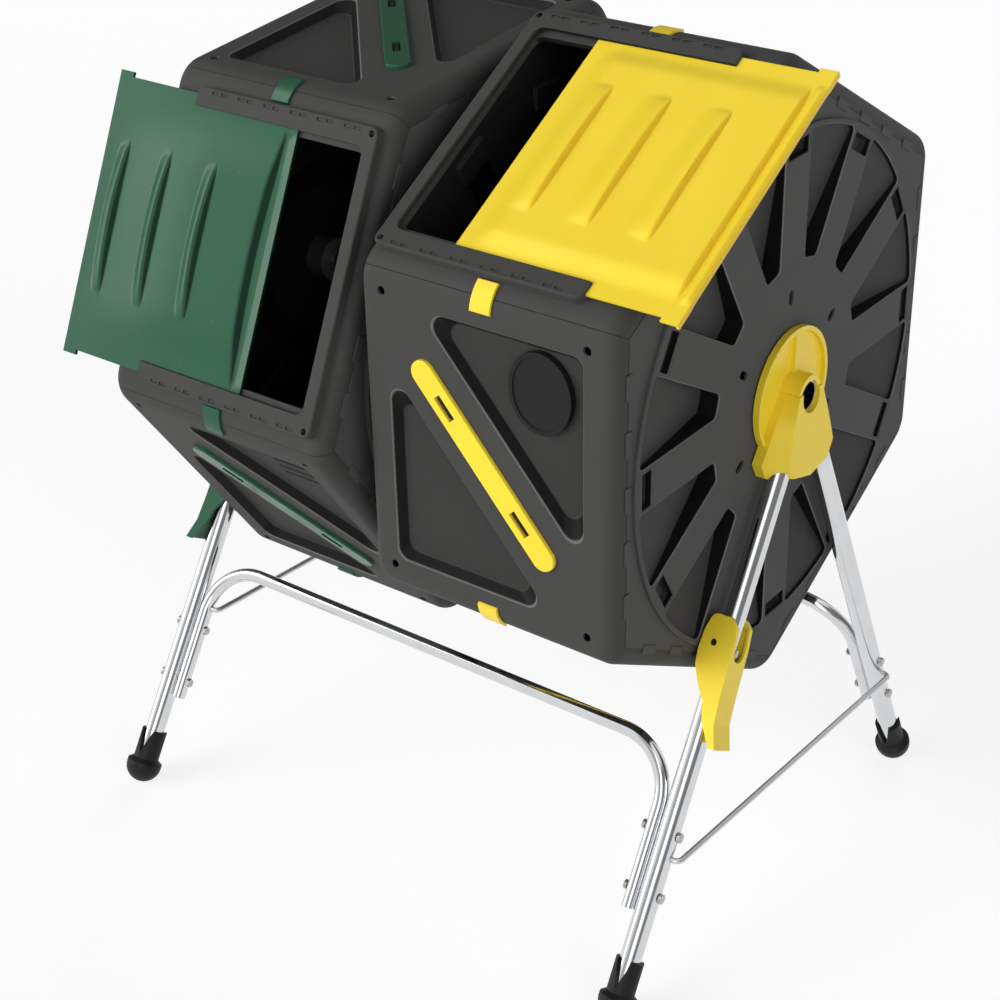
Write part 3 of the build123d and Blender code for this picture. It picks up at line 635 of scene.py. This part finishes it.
@dataclass(frozen=True)
class StudioFloor:
    """Pale matt floor that the camera and mirrors see partly glowing, so that it keeps its shadow."""

    name: str
    colour: Colour = (0.92, 0.92, 0.92)
    cloud_scale: float = 2.0
    cloud_tints: Band = (0.99, 1.01)
    roughness: float = 0.9
    glow: float = 0.62
    glow_level: float = 1.24

    @cached_property
    def material(self) -> bpy.types.Material:
        """The finish as a material."""
        graph = material_graph(self.name)
        cloud = graph.noise(self.cloud_scale, detail=2.0)
        dull, bright = (tint(self.colour, factor) for factor in self.cloud_tints)
        colour = graph.mix(cloud, dull, bright)
        graph.finish(Base_Color=colour, Roughness=self.roughness, Specular_IOR_Level=0.0)
        paint = Wire(graph, graph.tree.nodes["Principled BSDF"].outputs[0])
        white = graph.node("ShaderNodeEmission", inputs={"Strength": self.glow_level})
        share = graph.seen_ray() * self.glow
        graph.output(graph.node("ShaderNodeMixShader", inputs={0: share, 1: paint, 2: white}))
        return graph.owner


def new_object(name: str, mesh_maker: bmesh.types.BMesh) -> bpy.types.Object:
    """Turn a bmesh into an object at the origin.

    Args:
        name: the object's name.
        mesh_maker: the bmesh, which is freed.

    Returns:
        The object, linked to the scene.
    """
    mesh = bpy.data.meshes.new(name)
    mesh_maker.to_mesh(mesh)
    mesh_maker.free()
    made = bpy.data.objects.new(name, mesh)
    bpy.context.scene.collection.objects.link(made)
    return made


def wear(piece: bpy.types.Object, finish: Finish) -> None:
    """Give a piece its finish.

    Args:
        piece: a CAD node's object or a new piece.
        finish: any of the finishes above.
    """
    slots = piece.data.materials
    if not slots:
        slots.append(finish.material)
    for number in range(len(slots)):
        slots[number] = finish.material
    log.info("%s wears %s", piece.name, finish.name)


def extrude_edges(shape: bmesh.types.BMesh, edges: Any) -> list[bmesh.types.BMVert]:
    """Extrude some edges into faces.

    Args:
        shape: the bmesh that the edges are in.
        edges: the edges.

    Returns:
        The new vertices, still on top of the old ones.
    """
    grown = bmesh.ops.extrude_edge_only(shape, edges=edges)["geom"]
    return [part for part in grown if isinstance(part, bmesh.types.BMVert)]


def ease(value: float) -> float:
    """Smooth step of a number between 0 and 1."""
    held = min(max(value, 0.0), 1.0)
    return held * held * (3 - 2 * held)


@dataclass(frozen=True)
class LidRelief:
    """Sizes of the pattern moulded into a lid, in millimetres."""

    step_start: float
    grip_length: float
    grip_fall: float
    grip_bow: float
    grip_places: tuple[float, ...]
    grip_height: float = 5.5
    grip_half_width: float = 76.0
    field_height: float = 4.4
    field_half_width: float = 127.0
    side_slope: float = 26.0
    step_bow: float = 0.0
    step_run: float = 3.0
    soft_border: float = 10.0
    soft_run: float = 26.0
    rim_height: float = 0.0
    rim_middle: float = 6.0
    rim_half_width: float = 5.5
    dip_depth: float = 0.0
    dip_run: float = 10.0
    dip_fade: float = 8.0


YELLOW_RELIEF = LidRelief(
    step_start=14.0,
    grip_length=30.0,
    grip_fall=2.6,
    grip_bow=1.0,
    grip_places=(197.0, 134.0, 71.0),
    rim_height=2.2,
)
GREEN_RELIEF = LidRelief(
    step_start=12.5,
    grip_length=13.0,
    grip_fall=2.0,
    grip_bow=4.5,
    grip_places=(213.0, 152.0, 89.0),
    step_bow=7.0,
    soft_run=140.0,
    side_slope=60.0,
    dip_depth=2.2,
)


@dataclass
class SlidingLid:
    """One sliding lid with a low raised field, three crescent grips, a rim, ears and an end lip."""

    side: Side
    door_angle: float
    axle_height: float
    finish: GlossPlastic
    relief: LidRelief
    half_width: float = 142.0
    bottom: float = 294.984
    thickness: float = 3.0
    ear_length: float = 18.0
    ear_width: float = 5.0
    end_lip: float = 6.0
    steps_along: int = 260
    steps_across: int = 90
    edge_round: float = 0.8
    edge_segments: int = 2
    edge_angle: float = 50.0
    near: float = 0.01

    @cached_property
    def ends(self) -> tuple[float, float]:
        """Inner and outer end of the lid, in millimetres from the middle of the stand."""
        low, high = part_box(f"{self.side.label}_lid")
        inner, outer = sorted((abs(low.x) / MM, abs(high.x) / MM))
        return inner, outer

    def from_rim(self, along: float) -> float:
        """Distance from the end that has the rim, which is towards +X on both lids."""
        inner, outer = self.ends
        return outer - along if self.side is Side.RIGHT else along - inner

    def step(self, rim_gap: float, across: float) -> float:
        """Share of the climb from the rim's end to the raised field at a point.

        Args:
            rim_gap: distance from the rim's end.
            across: distance from the lid's middle line.

        Returns:
            A share from 0 to 1.
        """
        relief = self.relief
        bow = relief.step_bow * max(1 - (across / relief.field_half_width) ** 2, 0.0)
        return ease((rim_gap - relief.step_start - bow) / (relief.step_run + bow / 2))

    def field(self, rim_gap: float, across: float) -> float:
        """Share of the raised field's height at a point.

        Args:
            rim_gap: distance from the rim's end.
            across: distance from the lid's middle line.

        Returns:
            A share from 0 to 1.
        """
        relief = self.relief
        inner, outer = self.ends
        soft = ease((outer - inner - rim_gap - relief.soft_border) / relief.soft_run)
        sides = ease((relief.field_half_width - abs(across)) / relief.side_slope)
        return self.step(rim_gap, across) * soft * sides

    def dip(self, rim_gap: float, across: float) -> float:
        """Share of the dip's depth at a point, between the end and the step up to the field.

        Args:
            rim_gap: distance from the rim's end.
            across: distance from the lid's middle line.

        Returns:
            A share from 0 to 1.
        """
        relief = self.relief
        sides = ease((relief.field_half_width - abs(across)) / relief.dip_fade)
        return min(rim_gap / relief.dip_run, 1.0) * (1 - self.step(rim_gap, across)) * sides

    def grip(self, rim_gap: float, across: float) -> float:
        """Share of a grip's height at a point.

        Args:
            rim_gap: distance from the rim's end.
            across: distance from the lid's middle line.

        Returns:
            A share from 0 to 1.
        """
        relief = self.relief
        dome = max(1 - (across / relief.grip_half_width) ** 2, 0.0)
        fall = relief.grip_fall + relief.grip_bow * dome
        best = 0.0
        for place in relief.grip_places:
            behind = rim_gap - place - relief.grip_bow * dome
            if behind >= 0:
                best = max(best, ease(1 - behind / relief.grip_length))
            else:
                best = max(best, ease(1 + behind / fall))
        return best * dome**0.5

    def rim(self, rim_gap: float, across: float) -> float:
        """Share of the rim's height at a point.

        Args:
            rim_gap: distance from the rim's end.
            across: distance from the lid's middle line.

        Returns:
            A share from 0 to 1.
        """
        relief = self.relief
        profile = ease(1 - abs(rim_gap - relief.rim_middle) / relief.rim_half_width)
        return profile * ease((relief.field_half_width - abs(across)) / relief.rim_half_width)

    def height(self, along: float, across: float) -> float:
        """Height of the lid's underside at a point, in millimetres from the axle.

        Args:
            along: distance from the middle of the stand.
            across: distance from the lid's middle line.

        Returns:
            The height.
        """
        relief = self.relief
        rim_gap = self.from_rim(along)
        raised = relief.field_height * self.field(rim_gap, across)
        raised += relief.grip_height * self.grip(rim_gap, across)
        return self.bottom + max(raised, relief.rim_height * self.rim(rim_gap, across))

    def place(self) -> Matrix:
        """Matrix from the drum's own millimetres to the shared frame."""
        turn = radians(self.door_angle)
        sign = self.side.value
        turned = Matrix((
            (sign, 0, 0, 0),
            (0, sign * sin(turn), -cos(turn), 0),
            (0, sign * cos(turn), sin(turn), self.axle_height / MM),
            (0, 0, 0, 1),
        ))
        return Matrix.Scale(MM, 4) @ turned

    def build(self) -> bpy.types.Object:
        """Model the lid.

        Returns:
            The lid, in place.
        """
        shape = bmesh.new()
        steps = {"x_segments": self.steps_along, "y_segments": self.steps_across}
        bmesh.ops.create_grid(shape, size=0.5, **steps)
        inner, outer = self.ends
        sheet_end = outer - self.thickness
        bmesh.ops.scale(shape, verts=shape.verts, vec=(sheet_end - inner, 2 * self.half_width, 1))
        bmesh.ops.translate(shape, verts=shape.verts, vec=((inner + sheet_end) / 2, 0, 0))
        ear_start = outer - self.ear_length
        everything = [*shape.verts, *shape.edges, *shape.faces]
        cut = {"plane_co": (ear_start, 0, 0), "plane_no": (1, 0, 0)}
        bmesh.ops.bisect_plane(shape, geom=everything, **cut)
        for corner in shape.verts:
            corner.co.z = self.height(corner.co.x, corner.co.y)
        self.add_ears(shape, ear_start)
        self.add_lip(shape, sheet_end)
        bmesh.ops.recalc_face_normals(shape, faces=shape.faces)
        if sum(face.normal.z * face.calc_area() for face in shape.faces) < 0:
            bmesh.ops.reverse_faces(shape, faces=shape.faces)
        bmesh.ops.solidify(shape, geom=shape.faces, thickness=-self.thickness)
        self.press_dip(shape)
        bmesh.ops.transform(shape, matrix=self.place(), verts=shape.verts)
        for face in shape.faces:
            face.smooth = True
        lid = new_object(f"{self.side.label}_lid_moulding", shape)
        rounding = lid.modifiers.new("rounded_edges", "BEVEL")
        rounding.width = self.edge_round * MM
        rounding.segments = self.edge_segments
        rounding.limit_method = "ANGLE"
        rounding.angle_limit = radians(self.edge_angle)
        rounding.harden_normals = True
        return lid

    def add_ears(self, shape: bmesh.types.BMesh, ear_start: float) -> None:
        """Widen the outer end into an ear on each side.

        Args:
            shape: the lid so far.
            ear_start: where the ears begin.
        """
        for sign in (1, -1):
            edges = [
                edge for edge in shape.edges
                if edge.is_boundary
                and all(v.co.y * sign > self.half_width - self.near for v in edge.verts)
                and all(v.co.x > ear_start - self.near for v in edge.verts)
            ]
            moved = extrude_edges(shape, edges)
            bmesh.ops.translate(shape, verts=moved, vec=(0, sign * self.ear_width, 0))

    def add_lip(self, shape: bmesh.types.BMesh, sheet_end: float) -> None:
        """Turn the outer end down into a lip.

        Args:
            shape: the lid so far.
            sheet_end: where the flat sheet ends.
        """
        edges = [
            edge for edge in shape.edges
            if edge.is_boundary and all(v.co.x > sheet_end - self.near for v in edge.verts)
        ]
        moved = extrude_edges(shape, edges)
        bmesh.ops.translate(shape, verts=moved, vec=(0, 0, self.thickness - self.end_lip))

    def press_dip(self, shape: bmesh.types.BMesh) -> None:
        """Press the dip into the upper face, so that the lid's end stands up as a bead.

        Args:
            shape: the lid so far.
        """
        for corner in shape.verts:
            if corner.co.z > self.height(corner.co.x, corner.co.y) + self.thickness / 2:
                share = self.dip(self.from_rim(corner.co.x), corner.co.y)
                corner.co.z -= self.relief.dip_depth * share

    def dress(self) -> bpy.types.Object:
        """Build the lid, give it its finish and its body.

        Returns:
            The finished lid.
        """
        lid = self.build()
        wear(lid, self.finish)
        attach(lid, f"{self.side.label}_lid")
        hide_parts(f"{self.side.label}_lid")
        return lid


@dataclass
class Drum:
    """One drum: caps, panels and door frame, with its strips, vanes, clips and vent screens."""

    side: Side
    panel: DrumPlastic
    cap: DrumPlastic
    colour: GlossPlastic
    bush: GlossPlastic
    black: MattBlack
    screen_inner: float = 84.0
    screen_outer: float = 112.0
    screen_thickness: float = 1.0
    screen_behind_face: float = 6.0
    screen_segments: int = 96

    def finish_of(self, name: str) -> Finish:
        """The finish that a node of the drum wears."""
        words = {
            "end_cap": self.cap,
            "panel": self.panel,
            "door_frame": self.panel,
            "medallion": self.black,
            "strips": self.colour,
            "clips": self.colour,
            # The vanes wear the black moulding as painted shade, so that they show dark through the strips' slots.
            "vanes": self.black,
            "bush": self.bush,
        }
        return next(finish for word, finish in words.items() if word in name)

    def build_screen(self, end: str) -> bpy.types.Object:
        """Model the ring-shaped screen behind one cap's vents.

        Args:
            end: outer or inner.

        Returns:
            The screen, in place.
        """
        low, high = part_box(f"{self.side.label}_{end}_end_cap")
        faces = sorted((low.x, high.x), key=abs, reverse=end == "outer")
        inwards = 1 if faces[1] > faces[0] else -1
        shape = bmesh.new()
        bmesh.ops.create_circle(shape, radius=self.screen_outer * MM, segments=self.screen_segments)
        moved = extrude_edges(shape, shape.edges)
        share = self.screen_inner / self.screen_outer
        bmesh.ops.scale(shape, verts=moved, vec=(share, share, 1))
        bmesh.ops.recalc_face_normals(shape, faces=shape.faces)
        bmesh.ops.solidify(shape, geom=shape.faces, thickness=self.screen_thickness * MM)
        place = Vector((faces[0] + inwards * self.screen_behind_face * MM, 0, self.panel.axle_height))
        turn = Matrix.Rotation(pi / 2, 4, "Y")
        bmesh.ops.transform(shape, matrix=Matrix.Translation(place) @ turn, verts=shape.verts)
        return new_object(f"{self.side.label}_{end}_vent_screen", shape)

    def dress(self) -> None:
        """Give every node of the drum its finish and add the screens."""
        body = f"{self.side.label}_drum"
        for name in frame["record"]["behaviour"]["bodies"][body]:
            wear(frame["nodes"][name], self.finish_of(name))
        for end in ("outer", "inner"):
            screen = self.build_screen(end)
            wear(screen, self.black)
            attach(screen, body)


@dataclass
class Stand:
    """Tube stand with its hub brackets, feet, braces, rods and lock levers."""

    yellow: GlossPlastic
    green: GlossPlastic
    bush: GlossPlastic
    black: MattBlack
    steel: WornMetal
    rod_roughness: float = 0.42
    corners: tuple[str, ...] = ("right_front", "right_rear", "left_front", "left_rear")

    def tube(self, name: str, run: Vector, **look: Any) -> None:
        """Plate one tube.

        Args:
            name: the tube's node.
            run: direction of the tube.
            look: changes to the plating's usual look.
        """
        wear(frame["nodes"][name], PlatedTube(f"plated_{name}", tuple(run), **look))

    def dress_tubes(self) -> None:
        """Plate the legs, the braces, the rods and the axle."""
        for corner in self.corners:
            low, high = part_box(f"{corner}_leg")
            run = high - low
            run.x *= -1 if corner.startswith("right") else 1
            run.y *= -1 if corner.endswith("rear") else 1
            self.tube(f"{corner}_leg", run)
        for name in ("front_brace", "rear_brace", "axle_tube"):
            self.tube(name, Vector((1, 0, 0)))
        for name in ("right_side_rod", "left_side_rod"):
            self.tube(name, Vector((0, 1, 0)), roughness=self.rod_roughness)

    def dress(self) -> None:
        """Give every node of the stand and both levers their finishes."""
        self.dress_tubes()
        for side, finish in ((Side.RIGHT, self.yellow), (Side.LEFT, self.green)):
            wear(frame["nodes"][f"{side.label}_hub_bracket"], finish)
            wear(frame["nodes"][f"{side.label}_lock_lever"], finish)
            wear(frame["nodes"][f"{side.label}_lever_pin"], self.black)
        for corner in self.corners:
            wear(frame["nodes"][f"{corner}_foot"], self.black)
        for name in ("brace_bolts", "stop_screws"):
            wear(frame["nodes"][name], self.steel)
        wear(frame["nodes"]["axle_spacer"], self.bush)


@dataclass(frozen=True)
class Lamp:
    """One soft distant lamp: how bright it lights a white surface that faces it, and from where."""

    name: str
    level: float
    source: tuple[float, float, float]


@dataclass(frozen=True)
class Card:
    """An upright card that only mirrors see: where it stands, in degrees, and what it adds to white."""

    bearing: float
    half_width: float
    level: float


@dataclass
class Studio:
    """Pale floor, soft light, white surroundings and the camera."""

    floor: StudioFloor
    floor_size: float = 60.0
    floor_drop: float = 0.2 * MM
    ambient: float = 0.42
    overhead: float = 0.08
    overhead_band: Band = (0.1, 0.8)
    cards: tuple[Card, ...] = (
        Card(4.0, 52.0, -0.75),
        Card(-100.0, 12.0, -0.5),
        Card(135.0, 45.0, -0.85),
        Card(-149.0, 7.0, 4.0),
        Card(-72.0, 5.0, 2.5),
    )
    card_top: Band = (0.7, 0.9)
    card_fade: float = 6.0
    lamps: tuple[Lamp, ...] = (
        Lamp("key_lamp", 0.98, (-0.5, -0.83, 0.24)),
        Lamp("fill_lamp", 0.55, (0.85, -0.5, 0.15)),
        Lamp("back_lamp", 0.45, (-0.25, 0.96, 0.12)),
    )
    softness: float = 50.0
    camera_place: tuple[float, float, float] = (1.1582, -1.6240, 1.3543)
    camera_yaw: float = 36.459
    camera_pitch: float = 26.714
    camera_roll: float = 1.093
    camera_lens: float = 73.0
    sensor_width: float = 36.0

    def build_floor(self) -> None:
        """Lay the floor under the feet."""
        shape = bmesh.new()
        bmesh.ops.create_grid(shape, x_segments=1, y_segments=1, size=self.floor_size / 2)
        bmesh.ops.translate(shape, verts=shape.verts, vec=(0, 0, -self.floor_drop))
        floor = new_object("studio_floor", shape)
        wear(floor, self.floor)

    def build_lamp(self, lamp: Lamp) -> None:
        """Hang one lamp, which mirrors don't show.

        Args:
            lamp: the lamp's name, level and direction.
        """
        light = bpy.data.lights.new(lamp.name, "SUN")
        light.energy = lamp.level * pi
        light.angle = radians(self.softness)
        hung = bpy.data.objects.new(lamp.name, light)
        hung.rotation_euler = Vector(lamp.source).to_track_quat("Z", "Y").to_euler()
        hung.visible_glossy = False
        bpy.context.scene.collection.objects.link(hung)

    def build_world(self) -> None:
        """Surround the scene with white, and show mirrors its grey flags and bright cards."""
        world = bpy.data.worlds.new("white_surroundings")
        graph = Graph(world)
        ahead = graph.node("ShaderNodeTexCoord", output="Generated")
        bearing = graph.axis("Y", ahead).math("ARCTAN2", graph.axis("X", ahead))
        height = graph.axis("Z", ahead)
        low = 1 - height.rise(*self.card_top)
        light = self.ambient - height.rise(*self.overhead_band) * (self.ambient - self.overhead)
        mirrored = graph.node("ShaderNodeLightPath", output="Is Glossy Ray")
        backdrop = 1.0
        for card in self.cards:
            away = (bearing - radians(card.bearing)).math("WRAP", pi, -pi).math("ABSOLUTE")
            edges = radians(card.half_width), radians(card.half_width + self.card_fade)
            backdrop = backdrop + (1 - away.rise(*edges)) * low * mirrored * card.level
        ambient, shown = (
            graph.node("ShaderNodeBackground", inputs={"Color": WHITE, "Strength": strength})
            for strength in (light, backdrop)
        )
        shares = {0: graph.seen_ray(), 1: ambient, 2: shown}
        graph.output(graph.node("ShaderNodeMixShader", inputs=shares))
        bpy.context.scene.world = world

    def build_camera(self) -> None:
        """Set the camera at the photograph's viewing angle."""
        yaw = radians(self.camera_yaw)
        pitch = radians(self.camera_pitch)
        roll = radians(self.camera_roll)
        ahead = Vector((-sin(yaw) * cos(pitch), cos(yaw) * cos(pitch), -sin(pitch)))
        level = Vector((cos(yaw), sin(yaw), 0))
        upright = level.cross(ahead)
        right = level * cos(roll) + upright * sin(roll)
        up = upright * cos(roll) - level * sin(roll)
        lens = bpy.data.cameras.new("camera")
        lens.lens = self.camera_lens
        lens.sensor_width = self.sensor_width
        camera = bpy.data.objects.new("camera", lens)
        turned = Matrix((right, up, -ahead)).transposed().to_4x4()
        camera.matrix_world = Matrix.Translation(self.camera_place) @ turned
        bpy.context.scene.collection.objects.link(camera)
        bpy.context.scene.camera = camera

    def build(self) -> None:
        """Set up the whole studio."""
        self.build_floor()
        for lamp in self.lamps:
            self.build_lamp(lamp)
        self.build_world()
        self.build_camera()
        bpy.context.scene.view_settings.view_transform = "Standard"


@dataclass(frozen=True)
class Livery:
    """What differs between the two drums: finish, door angle, lid relief and the colour of the painted shade on
    the lid's drops.
    """

    side: Side
    finish: GlossPlastic
    door_angle: float
    relief: LidRelief
    drop_colour: Colour


YELLOW = GlossPlastic(
    "yellow_moulding", (0.88, 0.66, 0.034), (0.84, 0.61, 0.028), roughness=0.3, peel=0.03
)
GREEN = GlossPlastic(
    "green_moulding",
    (0.017, 0.086, 0.043),
    (0.014, 0.074, 0.037),
    roughness=0.18,
    peel=0.05,
    gloss=0.22,
)
BUSH = GlossPlastic(
    "bush_moulding", (0.2, 0.195, 0.185), (0.17, 0.165, 0.155), roughness=0.35, peel=0.03
)
LIVERIES = (
    Livery(
        side=Side.RIGHT,
        finish=YELLOW,
        door_angle=56.5,
        relief=YELLOW_RELIEF,
        drop_colour=(0.78, 0.50, 0.016),
    ),
    Livery(
        side=Side.LEFT,
        finish=GREEN,
        door_angle=21.5,
        relief=GREEN_RELIEF,
        drop_colour=(0.005, 0.027, 0.014),
    ),
)


def main() -> None:
    """Build and dress the tumbler, sub-assembly by sub-assembly."""
    logging.basicConfig(level=logging.INFO, format="%(message)s")
    black = MattBlack("black_moulding")
    joints = {joint["name"]: joint for joint in frame["joints"]}
    for livery in LIVERIES:
        side = livery.side
        place = (livery.door_angle, joints[f"{side.label}_drum_spin"]["pos_m"][2])
        panel = DrumPlastic(f"{side.label}_panel_moulding", side, Relief.PANEL, *place, PANEL_CHARCOAL)
        # The caps' charcoal is painted lighter than the panels'.
        cap = DrumPlastic(f"{side.label}_cap_moulding", side, Relief.CAP, *place, CAP_CHARCOAL_PAINTED_LIGHTER)
        # The lids' finish adds the painted shade on faces that turn towards +X.
        lid_name = f"{side.label}_lid_surface"
        lid_finish = replace(livery.finish, name=lid_name, drop_colour=livery.drop_colour)
        Drum(side, panel, cap, livery.finish, BUSH, black).dress()
        SlidingLid(side, *place, lid_finish, livery.relief).dress()
    Stand(YELLOW, GREEN, BUSH, black, WornMetal("zinc_plating")).dress()
    Studio(StudioFloor("floor_paint")).build()


if __name__ == "__main__":
    main()
